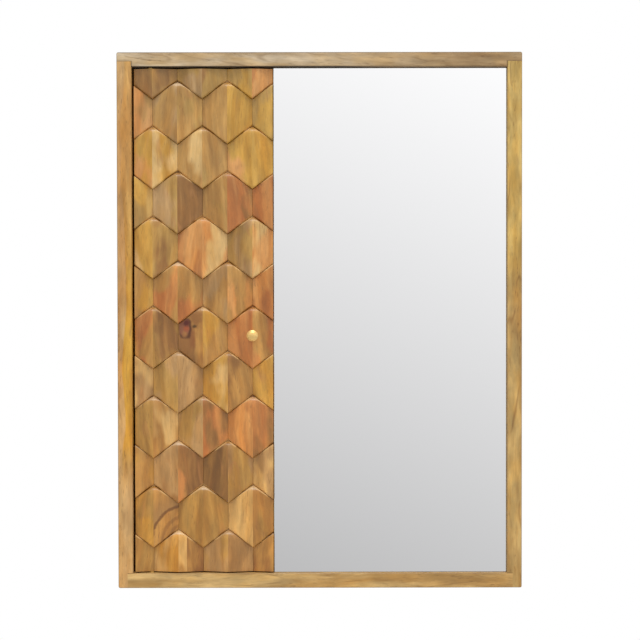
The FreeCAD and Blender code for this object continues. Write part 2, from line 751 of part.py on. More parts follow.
hinge_cutters = hinge_top["door_cutters"] + hinge_bottom["door_cutters"]
door_cutters = hinge_cutters + handle_cutters + strike_set["screws"]
door_blank = block((DOOR_LEFT, DOOR_RIGHT), (TILE_BACK, DOOR_REAR), (DOOR_BOTTOM, DOOR_TOP))
nodes["door_board"] = without(door_blank, door_cutters)
row = 0
while row_places(row):
    nodes["carved_tile_row_%02d" % (row + 1)] = tile_row(row, door_cutters)
    row += 1
nodes["knob"] = without(knob_blank(), [handle_screw])
nodes["knob_screw"] = handle_screw

for name, shape in nodes.items():
    if isinstance(shape, list):
        shape = Part.makeCompound(shape)
    shape.exportStep("parts/" + name + ".step")
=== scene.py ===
import bmesh
import bpy
import math
import random
from mathutils import Matrix, Vector


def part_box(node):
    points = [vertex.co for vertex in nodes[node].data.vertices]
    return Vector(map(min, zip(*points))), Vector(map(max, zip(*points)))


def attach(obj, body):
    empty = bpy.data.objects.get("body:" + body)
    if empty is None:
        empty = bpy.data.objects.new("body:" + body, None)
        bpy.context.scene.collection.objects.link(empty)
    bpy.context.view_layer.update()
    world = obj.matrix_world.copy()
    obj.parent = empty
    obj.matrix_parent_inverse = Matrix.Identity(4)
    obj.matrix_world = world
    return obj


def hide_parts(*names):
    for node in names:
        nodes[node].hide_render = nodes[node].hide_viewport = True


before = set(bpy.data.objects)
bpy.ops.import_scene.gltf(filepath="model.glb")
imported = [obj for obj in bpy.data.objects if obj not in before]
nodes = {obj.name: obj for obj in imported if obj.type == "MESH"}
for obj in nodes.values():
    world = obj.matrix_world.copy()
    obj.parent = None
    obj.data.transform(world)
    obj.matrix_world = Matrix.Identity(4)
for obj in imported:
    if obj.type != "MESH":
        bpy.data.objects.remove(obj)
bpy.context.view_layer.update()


# Carcass: four solid planks of a yellow-brown hardwood, lapped and glued at the corners, their
# front arrises eased. The top is paler and greyer than the rest, and the left side shows a pink
# outer band beside a golden one. All are finished in a thin satin lacquer that leaves the pores open.

def colour(red, green, blue):
    """Linear colour of a tone given in screen values from 0 to 255."""
    values = []
    for screen in (red, green, blue):
        share = screen / 255
        values.append(share / 12.92 if share <= 0.04045 else ((share + 0.055) / 1.055) ** 2.4)
    return (values[0], values[1], values[2], 1.0)


def put(tree, kind, sockets=None, **settings):
    """Add a node, set it up, and fill its inputs with plain values or with other nodes' outputs."""
    node = tree.nodes.new(kind)
    for name, value in settings.items():
        setattr(node, name, value)
    for name, value in (sockets or {}).items():
        if isinstance(value, bpy.types.NodeSocket):
            tree.links.new(value, node.inputs[name])
        else:
            node.inputs[name].default_value = value
    return node


def blend(tree, factor, first, second, how="MIX"):
    """Mix of two colours by a factor."""
    sockets = {0: factor, 6: first, 7: second}
    return put(tree, "ShaderNodeMix", sockets, data_type="RGBA", blend_type=how).outputs[2]


def sums(tree, how, first, second):
    """Result of one sum on two numbers."""
    return put(tree, "ShaderNodeMath", {0: first, 1: second}, operation=how).outputs[0]


def vectors(tree, how, first, second):
    """Result of one sum on two vectors."""
    return put(tree, "ShaderNodeVectorMath", {0: first, 1: second}, operation=how).outputs[0]


def axes(tree, vector):
    """The three numbers of a vector."""
    return put(tree, "ShaderNodeSeparateXYZ", {0: vector}).outputs


def grey(tree, shade):
    """Grey of a brightness."""
    return put(tree, "ShaderNodeCombineColor", {0: shade, 1: shade, 2: shade}).outputs[0]


def rise(tree, value, low, high, start=0.0, end=1.0):
    """Smooth step from start to end while the value goes from low to high."""
    sockets = {"Value": value, "From Min": low, "From Max": high, "To Min": start, "To Max": end}
    return put(tree, "ShaderNodeMapRange", sockets, interpolation_type="SMOOTHSTEP").outputs[0]


def speckle(tree, place, scale, detail, roughness=0.5):
    """Noise node: finer with its scale, and more ragged with its detail."""
    sockets = {"Vector": place, "Scale": scale, "Detail": detail, "Roughness": roughness}
    return put(tree, "ShaderNodeTexNoise", sockets)


def new_group(name, inputs, outputs):
    """Start a node group: its tree, and the values that it is given."""
    tree = bpy.data.node_groups.new(name, "ShaderNodeTree")
    for label, kind in inputs:
        tree.interface.new_socket(label, in_out="INPUT", socket_type="NodeSocket" + kind)
    for label, kind in outputs:
        tree.interface.new_socket(label, in_out="OUTPUT", socket_type="NodeSocket" + kind)
    return tree, put(tree, "NodeGroupInput").outputs


# Grain along Z: broad figure, veins, streaks, mottling, fine fibre and open pores
figured_wood, given = new_group(
    "figured_wood",
    [
        ("Place", "Vector"), ("Pale", "Color"), ("Deep", "Color"), ("Vein", "Color"),
        ("Vein Amount", "Float"), ("Vein Run", "Float"), ("Liveliness", "Float"),
    ],
    [("Colour", "Color"), ("Roughness", "Float"), ("Height", "Float")],
)
tree = figured_wood
stretched = vectors(tree, "MULTIPLY", given["Place"], (1.0, 1.0, 0.08))
sway = speckle(tree, given["Place"], 12.0, 2.0).outputs["Color"]
drift = vectors(tree, "SUBTRACT", sway, (0.5, 0.5, 0.5))
bent = vectors(tree, "ADD", stretched, vectors(tree, "MULTIPLY", drift, (0.016, 0.016, 0.004)))
figure = rise(tree, speckle(tree, bent, 60.0, 3.0, 0.55).outputs[0], 0.36, 0.64)
growth = speckle(tree, vectors(tree, "MULTIPLY", bent, (1.0, 1.0, 1.6)), 30.0, 1.0, 0.4).outputs[0]
folds = sums(tree, "PINGPONG", sums(tree, "MULTIPLY", growth, 13.0), 1.0)
lines = rise(tree, folds, 0.0, 0.24, 1.0, 0.0)
vein_run = put(tree, "ShaderNodeCombineXYZ", {0: 1.0, 1: 1.0, 2: given["Vein Run"]}).outputs[0]
vein_place = vectors(tree, "MULTIPLY", given["Place"], vein_run)
vein_patch = rise(tree, speckle(tree, vein_place, 24.0, 1.0).outputs[0], 0.44, 0.62)
veins = sums(tree, "MULTIPLY", lines, vein_patch)
streak = speckle(tree, vectors(tree, "MULTIPLY", bent, (1.0, 1.0, 2.2)), 110.0, 2.0, 0.5).outputs[0]
cloud = speckle(tree, vectors(tree, "MULTIPLY", given["Place"], (1.0, 1.0, 0.3)), 54.0, 3.0, 0.6)
fibre = speckle(tree, vectors(tree, "MULTIPLY", bent, (1.0, 1.0, 0.4)), 1500.0, 1.0).outputs[0]
pore_place = vectors(tree, "MULTIPLY", given["Place"], (1.0, 1.0, 0.14))
pores = rise(tree, speckle(tree, pore_place, 620.0, 1.0).outputs[0], 0.62, 0.72)
crowding = rise(tree, speckle(tree, stretched, 90.0, 1.0).outputs[0], 0.35, 0.65, 0.2, 1.0)
pores = sums(tree, "MULTIPLY", sums(tree, "MULTIPLY", pores, crowding), given["Liveliness"])
body = blend(tree, figure, given["Pale"], given["Deep"])
body = blend(tree, sums(tree, "MULTIPLY", veins, given["Vein Amount"]), body, given["Vein"])
warmth = put(tree, "ShaderNodeSeparateColor", {0: cloud.outputs["Color"]}).outputs[1]
warm = sums(tree, "MULTIPLY", rise(tree, warmth, 0.4, 0.68, -0.3, 0.7), given["Liveliness"])
tint = blend(tree, sums(tree, "ADD", warm, 0.3), (0.99, 1.01, 0.98, 1.0), (1.04, 0.98, 0.78, 1.0))
body = blend(tree, 1.0, body, tint, "MULTIPLY")
swing = sums(tree, "MULTIPLY", rise(tree, cloud.outputs[0], 0.3, 0.7, -0.17, 0.17), given["Liveliness"])
shade = sums(tree, "MULTIPLY", rise(tree, fibre, 0.25, 0.75, 0.94, 1.06), sums(tree, "ADD", swing, 1.0))
shade = sums(tree, "MULTIPLY", shade, rise(tree, streak, 0.3, 0.7, 0.91, 1.09))
body = blend(tree, 1.0, body, grey(tree, shade), "MULTIPLY")
body = blend(tree, sums(tree, "MULTIPLY", pores, 0.4), body, colour(96, 62, 32))
height = sums(tree, "SUBTRACT", sums(tree, "MULTIPLY", fibre, 0.35), pores)
sheen = sums(tree, "ADD", rise(tree, figure, 0.0, 1.0, 0.40, 0.48), sums(tree, "MULTIPLY", pores, 0.2))
put(tree, "NodeGroupOutput", {"Colour": body, "Roughness": sheen, "Height": height})


def new_material(name):
    """Material with an empty node tree."""
    material = bpy.data.materials.new(name)
    material.use_nodes = True
    material.node_tree.nodes.clear()
    return material


def bumps(tree, height, strength, depth):
    """Normal of a fine relief."""
    sockets = {"Height": height, "Strength": strength, "Distance": depth}
    return put(tree, "ShaderNodeBump", sockets).outputs[0]


def surface(material, sockets):
    """Give a material its one shader."""
    shader = put(material.node_tree, "ShaderNodeBsdfPrincipled", sockets)
    put(material.node_tree, "ShaderNodeOutputMaterial", {0: shader.outputs[0]})


def lacquered(
    name, pale, deep, vein, turn=(0.0, 0.0, 0.0), slide=(0.0, 0.0, 0.0), fineness=1.0,
    vein_amount=0.5, vein_run=1.0, band=None, lively=1.0,
):
    """Satin wood with its grain along Z, or turned, calmer and with longer veins on broad faces.

    A band is a second tone beyond a line across an axis, faded in or out along Z.
    """
    material = new_material(name)
    tree = material.node_tree
    coordinates = put(tree, "ShaderNodeTexCoord")
    spot = coordinates.outputs["Object"]
    scale = (fineness, fineness, fineness)
    placing = {"Vector": spot, "Rotation": turn, "Location": slide, "Scale": scale}
    place = put(tree, "ShaderNodeMapping", placing).outputs[0]
    if band:
        line = band["line"]
        blur = band["blur"]
        along = speckle(tree, vectors(tree, "MULTIPLY", spot, (0.3, 0.3, 1.0)), 7.0, 2.0).outputs[0]
        spot_axes = axes(tree, spot)
        waver = rise(tree, along, 0.2, 0.8, -0.006, 0.006)
        wavering = sums(tree, "ADD", spot_axes[band["axis"]], waver)
        beyond = rise(tree, wavering, line - blur, line + blur)
        for low, high, start, end in band["fades"]:
            beyond = sums(tree, "MULTIPLY", beyond, rise(tree, spot_axes[2], low, high, start, end))
        pale = blend(tree, beyond, pale, band["pale"])
        deep = blend(tree, beyond, deep, band["deep"])
    facing = axes(tree, coordinates.outputs["Normal"])[1]
    square = sums(tree, "MULTIPLY", facing, facing)
    broad = rise(tree, square, 0.1, 0.9, 1.0, 0.0)
    wood = put(tree, "ShaderNodeGroup", {
        "Place": place,
        "Pale": pale,
        "Deep": blend(tree, sums(tree, "MULTIPLY", broad, 0.4), deep, pale),
        "Vein": vein,
        "Vein Amount": sums(tree, "ADD", vein_amount, sums(tree, "MULTIPLY", broad, 0.35)),
        "Vein Run": rise(tree, square, 0.1, 0.9, 0.15, vein_run),
        "Liveliness": sums(tree, "SUBTRACT", lively, sums(tree, "MULTIPLY", broad, 0.65 * lively)),
    }, node_tree=figured_wood)
    # Painted shade: faces turning between front and side, the rounded arrises, are darkened towards a
    # brown.
    arris = sums(tree, "MULTIPLY", square, sums(tree, "SUBTRACT", 1.0, square))
    arris_shade = rise(tree, arris, 0.03, 0.22, 0.0, 0.6)
    surface(material, {
        "Base Color": blend(tree, arris_shade, wood.outputs["Colour"], colour(112, 84, 52)),
        "Roughness": wood.outputs["Roughness"],
        "Normal": bumps(tree, wood.outputs["Height"], 0.3, 0.0003),
        "Specular IOR Level": 0.4,
        "Coat Weight": 0.06,
        "Coat Roughness": 0.3,
    })
    return material


def dress(material, *names):
    """Give CAD nodes a finished material."""
    for name in names:
        mesh = nodes[name].data
        mesh.materials.clear()
        mesh.materials.append(material)


QUARTER = math.pi / 2
top_plank = lacquered(
    "top_plank", colour(201, 181, 155), colour(172, 147, 115), colour(132, 102, 68),
    turn=(0.0, QUARTER - 0.05, 0.0), slide=(0.4, 0.0, 0.7), vein_amount=0.5,
    band={
        "axis": 0, "line": 0.02, "blur": 0.2, "fades": (),
        "pale": colour(167, 139, 103), "deep": colour(136, 106, 70),
    },
)
tree = top_plank.node_tree
plank_x, plank_y, plank_z = axes(tree, put(tree, "ShaderNodeTexCoord").outputs["Object"])
face = next(node for node in tree.nodes if node.type == "BSDF_PRINCIPLED").inputs["Base Color"]
top_low, top_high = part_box("top_board")
side_low, side_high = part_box("right_side")
# Painted shadow: a near-black band along the lower front edge of the top board, strongest at the left,
# stands in for the shade in the gap above the door and the mirror.
underside = rise(tree, plank_z, top_low.z + 0.0009, top_low.z + 0.0024, 0.9, 0.0)
gap_shadow = sums(tree, "MULTIPLY", underside, rise(tree, plank_x, 0.03, 0.12, 1.0, 0.2))
edged = blend(tree, gap_shadow, face.links[0].from_socket, colour(44, 28, 12))
# Painted shade: a darker grey line along the top front edge of the top board, where the overhead lamp
# would otherwise light the rounded arris.
upper_edge = rise(tree, plank_z, top_high.z - 0.0017, top_high.z - 0.0003)
front_edge = rise(tree, plank_y, top_low.y + 0.0005, top_low.y + 0.0025, 0.7, 0.0)
edged = blend(tree, sums(tree, "MULTIPLY", upper_edge, front_edge), edged, colour(74, 62, 48))
outward = sums(tree, "ABSOLUTE", plank_x, 0.0)
over_side = rise(tree, outward, side_low.x - 0.0016, side_low.x - 0.0004)
lap_line = rise(tree, plank_z, side_high.z + 0.0003, side_high.z + 0.0015, 0.5, 0.0)
edged = blend(tree, sums(tree, "MULTIPLY", over_side, lap_line), edged, colour(92, 62, 30))
tree.links.new(edged, face)
dress(top_plank, "top_board")
dress(lacquered(
    "bottom_plank", colour(200, 163, 106), colour(167, 127, 71), colour(128, 88, 42),
    turn=(0.0, QUARTER + 0.03, 0.0), slide=(1.9, 0.0, 0.2), vein_amount=0.65,
), "bottom_board")
dress(lacquered(
    "left_plank", colour(203, 161, 107), colour(179, 132, 79), colour(150, 104, 55),
    slide=(0.1, 0.0, 2.3), vein_amount=0.5,
    band={
        "axis": 0, "line": -0.2905, "blur": 0.0012,
        "fades": ((-0.25, -0.17, 0.0, 1.0), (-0.02, 0.27, 1.0, 0.3)),
        "pale": colour(206, 154, 58), "deep": colour(188, 130, 38),
    },
), "left_side")
dress(lacquered(
    "right_plank", colour(190, 155, 96), colour(160, 119, 62), colour(132, 90, 42),
    slide=(0.7, 0.0, 5.1), vein_amount=0.6, lively=1.2,
    band={
        "axis": 2, "line": 0.07, "blur": 0.06, "fades": (),
        "pale": colour(205, 173, 105), "deep": colour(182, 147, 78),
    },
), "right_side")


# Back panel: one sheet of thin birch plywood let into a rebate round the rear of the box, left
# sanded, and held by small bright nails.

dress(lacquered(
    "birch_ply", colour(216, 187, 142), colour(206, 173, 124), colour(186, 148, 102),
    slide=(3.3, 0.0, 0.0), fineness=0.3, vein_amount=0.5, lively=0.3,
), "back_panel")


def metal(name, tone, dull, roughness, spread, metallic=1.0, scale=260.0):
    """Plated or blackened metal: cloudy tone, uneven gloss and fine handling marks."""
    material = new_material(name)
    tree = material.node_tree
    spot = put(tree, "ShaderNodeTexCoord").outputs["Object"]
    cloud = speckle(tree, spot, scale, 4.0, 0.6).outputs[0]
    marks = speckle(tree, spot, scale * 9, 2.0).outputs[0]
    surface(material, {
        "Base Color": blend(tree, rise(tree, cloud, 0.35, 0.65), tone, dull),
        "Roughness": rise(tree, cloud, 0.3, 0.7, roughness - spread, roughness + spread),
        "Metallic": metallic,
        "Normal": bumps(tree, marks, 0.15, 0.0001),
    })
    return material


zinc_plate = metal("zinc_plate", colour(206, 208, 210), colour(168, 171, 175), 0.34, 0.08)
dress(zinc_plate, "back_panel_pins")


# Storage side: an upright partition and three thin shelves of the same wood, planed and lacquered,
# their ends let into shallow housings.

inner_upright = lacquered(
    "inner_upright", colour(204, 166, 112), colour(186, 146, 92), colour(158, 116, 66),
    slide=(6.1, 0.3, 0.0), vein_amount=0.5, lively=0.7,
)
inner_level = lacquered(
    "inner_level", colour(206, 168, 112), colour(188, 148, 92), colour(160, 118, 68),
    turn=(0.0, QUARTER, 0.0), slide=(0.2, 0.0, 4.4), vein_amount=0.5, lively=0.7,
)
dress(inner_upright, "partition")
dress(inner_level, "shelf_lower", "shelf_middle", "shelf_upper")


# Mirror: 4 mm silvered float glass with a ground arris, bonded to a raw fibre board that is screwed
# from behind to four battens.

silvering = new_material("silvered_glass")
tree = silvering.node_tree
coordinates = put(tree, "ShaderNodeTexCoord")
facing = axes(tree, coordinates.outputs["Normal"])[1]
flat = rise(tree, sums(tree, "ABSOLUTE", facing, 0.0), 0.8, 0.98)
ground = rise(tree, flat, 0.0, 1.0, 0.5, 0.0)
haze = speckle(tree, coordinates.outputs["Object"], 9.0, 3.0).outputs[0]
surface(silvering, {
    "Base Color": blend(tree, flat, colour(234, 232, 224), colour(250, 250, 251)),
    "Metallic": flat,
    "Roughness": sums(tree, "ADD", ground, rise(tree, haze, 0.3, 0.7, 0.0, 0.012)),
})
dress(silvering, "mirror_glass")

fibre_board = new_material("raw_fibre_board")
tree = fibre_board.node_tree
spot = put(tree, "ShaderNodeTexCoord").outputs["Object"]
flock = speckle(tree, spot, 420.0, 4.0, 0.65).outputs[0]
surface(fibre_board, {
    "Base Color": blend(tree, rise(tree, flock, 0.3, 0.7), colour(148, 116, 82), colour(122, 92, 62)),
    "Roughness": rise(tree, flock, 0.3, 0.7, 0.72, 0.9),
    "Normal": bumps(tree, flock, 0.3, 0.0002),
})
dress(fibre_board, "mirror_board")
dress(inner_level, "mirror_cleat_top", "mirror_cleat_bottom")
dress(inner_upright, "mirror_cleat_left", "mirror_cleat_right")
dress(zinc_plate, "mirror_board_screws")


# Hangers: zinc plated keyhole plates let flush into the rear edges of the sides. Each is held by two
# countersunk wood screws with a cross recess.

dress(zinc_plate, "hanger_plate_left", "hanger_plate_right")
SCREW_HEAD_R = 0.0029
SCREW_HEAD = 0.0016
SCREW_SHANK_R = 0.0015
SCREW_POINT = 0.003
SCREW_POINT_R = 0.0002
SCREW_RECESS = 0.0017
SCREW_RECESS_DEPTH = 0.0011
RECESS_BLADE = 0.22


def turned(name, profile, sides, foot, towards):
    """Turn a solid from (radius, distance along the axis) steps, starting at foot and going towards."""
    bpy.ops.object.select_all(action="DESELECT")
    bpy.ops.mesh.primitive_circle_add(
        vertices=sides, radius=profile[0][0], fill_type="NGON", location=(0, 0, 0),
    )
    piece = bpy.context.object
    piece.name = name
    bpy.ops.object.mode_set(mode="EDIT")
    bpy.ops.mesh.select_all(action="SELECT")
    for (radius, along), (next_radius, next_along) in zip(profile, profile[1:]):
        bpy.ops.mesh.extrude_region_move(TRANSFORM_OT_translate={"value": (0, 0, next_along - along)})
        bpy.ops.transform.resize(value=(next_radius / radius, next_radius / radius, 1))
    bpy.ops.mesh.select_all(action="SELECT")
    bpy.ops.mesh.normals_make_consistent(inside=False)
    bpy.ops.object.mode_set(mode="OBJECT")
    stand = Vector((0, 0, 1)).rotation_difference(Vector(towards)).to_matrix().to_4x4()
    piece.data.transform(Matrix.Translation(foot) @ stand)
    return piece


def cross_recess(screw, foot, towards, reach, depth):
    """Punch a cross into the head of a screw."""
    blade = RECESS_BLADE * reach
    for wide, high in ((reach, blade), (blade, reach)):
        bpy.ops.object.select_all(action="DESELECT")
        bpy.ops.mesh.primitive_cube_add(size=2, location=(0, 0, 0))
        punch = bpy.context.object
        stand = Vector((0, 0, 1)).rotation_difference(Vector(towards)).to_matrix().to_4x4()
        punch.data.transform(Matrix.Translation(foot) @ stand @ Matrix.Diagonal((wide, high, depth, 1)))
        bpy.ops.object.select_all(action="DESELECT")
        screw.select_set(True)
        bpy.context.view_layer.objects.active = screw
        cut = screw.modifiers.new("recess", "BOOLEAN")
        cut.operation = "DIFFERENCE"
        cut.object = punch
        bpy.ops.object.modifier_apply(modifier=cut.name)
        bpy.data.objects.remove(punch)


def drive_screws(node, body, finish, places, length):
    """Countersunk wood screws with cross recesses in place of a node of plain ones."""
    profile = [
        (SCREW_HEAD_R, 0.0), (SCREW_SHANK_R, SCREW_HEAD),
        (SCREW_SHANK_R, length - SCREW_POINT), (SCREW_POINT_R, length),
    ]
    screws = []
    for foot, towards in places:
        screw = turned("screw", profile, 24, foot, towards)
        cross_recess(screw, foot, towards, SCREW_RECESS, SCREW_RECESS_DEPTH)
        screws.append(screw)
    bpy.ops.object.select_all(action="DESELECT")
    for screw in screws:
        screw.select_set(True)
    bpy.context.view_layer.objects.active = screws[0]
    bpy.ops.object.join()
    group = bpy.context.object
    group.name = "recessed_" + node
    bpy.ops.object.shade_smooth_by_angle(angle=math.radians(35))
    group.data.materials.clear()
    group.data.materials.append(finish)
    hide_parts(node)
    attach(group, body)


low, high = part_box("hanger_screws")
places = []
for x in (low.x + SCREW_HEAD_R, high.x - SCREW_HEAD_R):
    lower_screw = low.z + SCREW_HEAD_R
    upper_screw = high.z - SCREW_HEAD_R
    places += [((x, high.y, lower_screw), (0, -1, 0)), ((x, high.y, upper_screw), (0, -1, 0))]
drive_screws("hanger_screws", "cabinet", zinc_plate, places, high.y - low.y)


# Pivot hinges: blackened steel plates above and below the door, a steel pin in each, and a brass
# washer that carries the door. The screws are blackened with the plates.

blackened = metal("blackened_steel", colour(46, 45, 44), colour(30, 29, 29), 0.5, 0.1, 0.8, 340.0)
washer_brass = metal("washer_brass", colour(214, 178, 106), colour(190, 152, 84), 0.36, 0.08)
for end in ("top", "bottom"):
    dress(blackened, "pivot_frame_plate_" + end, "pivot_door_plate_" + end, "pivot_pin_" + end)
    dress(washer_brass, "pivot_washer_" + end)
HINGE_SCREW = 0.016
low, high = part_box("pivot_frame_screws")
places = []
for x in (low.x + SCREW_HEAD_R, high.x - SCREW_HEAD_R):
    y = (low.y + high.y) / 2
    places += [((x, y, low.z + HINGE_SCREW), (0, 0, -1)), ((x, y, high.z - HINGE_SCREW), (0, 0, 1))]
drive_screws("pivot_frame_screws", "cabinet", blackened, places, HINGE_SCREW)
low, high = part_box("pivot_door_screws")
places = []
for x in (low.x + SCREW_HEAD_R, high.x - SCREW_HEAD_R):
    y = (low.y + high.y) / 2
    places += [((x, y, low.z), (0, 0, 1)), ((x, y, high.z), (0, 0, -1))]
drive_screws("pivot_door_screws", "door", blackened, places, HINGE_SCREW)


# Catch: a brown moulded block with a ferrite magnet between two steel poles, screwed to the
# partition, and soft clear-grey bumpers that the door closes on.

def moulded(name, tone, dull, roughness, grain):
    """Matt plastic, ferrite or rubber with a fine moulded grain."""
    material = new_material(name)
    tree = material.node_tree
    spot = put(tree, "ShaderNodeTexCoord").outputs["Object"]
    skin = speckle(tree, spot, grain, 3.0, 0.6).outputs[0]
    surface(material, {
        "Base Color": blend(tree, rise(tree, skin, 0.35, 0.65), tone, dull),
        "Roughness": rise(tree, skin, 0.3, 0.7, roughness - 0.08, roughness + 0.08),
        "Normal": bumps(tree, skin, 0.35, 0.0001),
    })
    return material


catch_moulding = moulded("catch_moulding", colour(112, 76, 46), colour(100, 66, 40), 0.5, 1600.0)
dress(catch_moulding, "catch_housing")
dress(moulded("ferrite", colour(62, 62, 64), colour(48, 48, 50), 0.6, 2200.0), "catch_magnet")
bumper_rubber = moulded("bumper_rubber", colour(206, 206, 202), colour(190, 190, 186), 0.55, 900.0)
dress(bumper_rubber, "door_bumpers")
dress(zinc_plate, "catch_poles", "strike_plate")
low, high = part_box("catch_screws")
y = (low.y + high.y) / 2
places = [((low.x, y, z), (1, 0, 0)) for z in (low.z + SCREW_HEAD_R, high.z - SCREW_HEAD_R)]
drive_screws("catch_screws", "cabinet", zinc_plate, places, high.x - low.x)
low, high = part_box("strike_screws")
x = (low.x + high.x) / 2
places = [((x, high.y, z), (0, -1, 0)) for z in (low.z + SCREW_HEAD_R, high.z - SCREW_HEAD_R)]
drive_screws("strike_screws", "door", zinc_plate, places, high.y - low.y)


# Door board: the plain backing that carries the tiles, in the same wood as the shelves. The knob's
# pan-head screw comes through it from behind.

dress(lacquered(
    "door_backing", colour(204, 166, 112), colour(195, 156, 102), colour(162, 120, 70),
    slide=(7.7, 0.6, 0.4), vein_amount=0.7, vein_run=0.15, lively=0.2,
), "door_board")
low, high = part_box("knob_screw")
foot = ((low.x + high.x) / 2, high.y, (low.z + high.z) / 2)
reach = high.y - low.y
PAN_HEAD_R = 0.0045
PAN_HEAD = 0.0022
PAN_SHANK_R = 0.0020
PAN_RECESS = 0.0021
PAN_RECESS_DEPTH = 0.0013
profile = [
    (0.0030, 0.0), (0.0040, 0.0003), (PAN_HEAD_R, 0.0010), (PAN_HEAD_R, PAN_HEAD),
    (PAN_SHANK_R, PAN_HEAD), (PAN_SHANK_R, reach),
]
handle_screw = turned("pan_head_screw", profile, 32, foot, (0, -1, 0))
cross_recess(handle_screw, foot, (0, -1, 0), PAN_RECESS, PAN_RECESS_DEPTH)
bpy.ops.object.shade_smooth_by_angle(angle=math.radians(35))
handle_screw.data.materials.append(zinc_plate)
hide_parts("knob_screw")
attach(handle_screw, "door")


# Carved tiles: upright hexagons of mixed offcuts, each worked to a low gable with an upright ridge,
# its arrises sanded round and its upper end leant back. They are glued to the door board in staggered
# rows, trimmed flush with the door's edges, and lacquered together.

door_low, door_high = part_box("door_board")
TILE_BACK = door_low.y
TILE_EDGE = 0.006
TILE_RISE = 0.009
TILE_HALF = 0.03693
TILE_SHOULDER = 0.01975
TILE_TIP = 0.04675
COLUMN_PITCH = 0.074
ROW_PITCH = 0.0667
PATTERN_X = -0.1737
FIRST_ROW_Z = 0.37585
ROW_COUNT = 12
RIDGE_HALF = 0.00284
TIP_ROUND = 0.010
ROLL_TIP = 0.0108
ROLL_EDGE = 0.0008
ROLL_SPREAD = 0.32
UNDER_GABLE = 0.0004
UNDER_ROW_ABOVE = 0.0006
SUNK = 0.002
JOINT_REACH = 0.0026
JOINT_CORE = 0.0002
RIDGE_CUTS = (0.0, 0.001, 0.002, 0.0032, 0.005, 0.0075, 0.011, 0.016, 0.024)
TIP_CUTS = (0.0003, 0.0008, 0.0015, 0.0024, 0.0035, 0.0048, 0.0063, 0.0080, 0.0098, 0.0118)
LOWER_ARRIS = 0.0027
UPRIGHT_ARRIS = 0.0004
TRIM = 0.00015
SLOPE = math.atan2(TILE_TIP - TILE_SHOULDER, TILE_HALF)


def pick(piece, kind, wanted):
    """Select the vertices, edges or faces of the piece in edit mode that pass a test."""
    bpy.ops.mesh.select_mode(type=kind)
    bpy.ops.mesh.select_all(action="DESELECT")
    mesh = bmesh.from_edit_mesh(piece.data)
    mesh.normal_update()
    for part in {"VERT": mesh.verts, "EDGE": mesh.edges, "FACE": mesh.faces}[kind]:
        if wanted(part):
            part.select_set(True)
    mesh.select_flush_mode()
    bmesh.update_edit_mesh(piece.data)


def meets(edge, wall_test):
    """True for an edge between a carved face and a wall that passes a test on its normal."""
    if len(edge.link_faces) != 2:
        return False
    first, second = [face.normal for face in edge.link_faces]
    if first.y > second.y:
        first, second = second, first
    return first.y < -0.9 and second.y > -0.5 and wall_test(second)


def carved_height(x, z):
    """Height of the worked face over the tile's back: a rounded gable, rolled over at its upper tip."""
    across = abs(x)
    fall = TILE_RISE / TILE_HALF
    gable = TILE_EDGE + TILE_RISE - fall * across
    if across < RIDGE_HALF:
        gable = TILE_EDGE + TILE_RISE - fall * (RIDGE_HALF / 2 + x * x / (2 * RIDGE_HALF))
    row_above = TILE_EDGE + fall * across
    low = min(gable - UNDER_GABLE, row_above - UNDER_ROW_ABOVE)
    middle = TILE_TIP - TIP_ROUND / math.cos(SLOPE)
    inside = (TILE_TIP - z) * math.cos(SLOPE) - across * math.sin(SLOPE)
    if across < (z - middle) * math.tan(SLOPE):
        inside = TIP_ROUND - math.hypot(x, z - middle)
    if inside < 0:
        return low - SUNK
    away = min(across / (ROLL_SPREAD * TILE_HALF), 1.0)
    width = ROLL_EDGE + ROLL_TIP * (1 - away * away * (3 - 2 * away))
    share = min(inside / width, 1.0)
    return low + (gable - low) * math.sqrt(1 - (1 - share) ** 2)


bpy.ops.object.select_all(action="DESELECT")
bpy.ops.mesh.primitive_cylinder_add(
    vertices=6, radius=TILE_TIP, depth=TILE_EDGE,
    location=(0, TILE_BACK - TILE_EDGE / 2, 0), rotation=(QUARTER, 0, 0),
)
bpy.ops.object.transform_apply(location=True, rotation=True, scale=True)
tile = bpy.context.object
tile.name = "carved_tile"
bpy.ops.object.mode_set(mode="EDIT")
pick(tile, "VERT", lambda v: abs(v.co.x) > 0.001)
regular_half = TILE_TIP * math.cos(math.pi / 6)
bpy.ops.transform.resize(value=(TILE_HALF / regular_half, 1, TILE_SHOULDER / (TILE_TIP / 2)))
for across in RIDGE_CUTS:
    for side in ((-1, 1) if across else (1,)):
        bpy.ops.mesh.select_all(action="SELECT")
        bpy.ops.mesh.bisect(plane_co=(side * across, 0, 0), plane_no=(1, 0, 0))
for side in (-1, 1):
    inward = Vector((-side * math.sin(SLOPE), 0, -math.cos(SLOPE)))
    for depth in TIP_CUTS:
        pick(tile, "FACE", lambda face: side * face.calc_center_median().x > 0)
        bpy.ops.mesh.bisect(plane_co=Vector((0, 0, TILE_TIP)) + inward * depth, plane_no=inward)
bpy.ops.object.mode_set(mode="OBJECT")
for vertex in tile.data.vertices:
    if vertex.co.y < TILE_BACK - TILE_EDGE / 2:
        vertex.co.y = TILE_BACK - carved_height(vertex.co.x, vertex.co.z)
bpy.ops.object.mode_set(mode="EDIT")
pick(tile, "EDGE", lambda e: meets(e, lambda normal: normal.z < -0.3))
bpy.ops.mesh.bevel(offset=LOWER_ARRIS, segments=3, profile=0.5, affect="EDGES")
pick(tile, "EDGE", lambda e: meets(e, lambda normal: abs(normal.x) > 0.9))
bpy.ops.mesh.bevel(offset=UPRIGHT_ARRIS, segments=2, profile=0.5, affect="EDGES")
bpy.ops.object.mode_set(mode="OBJECT")

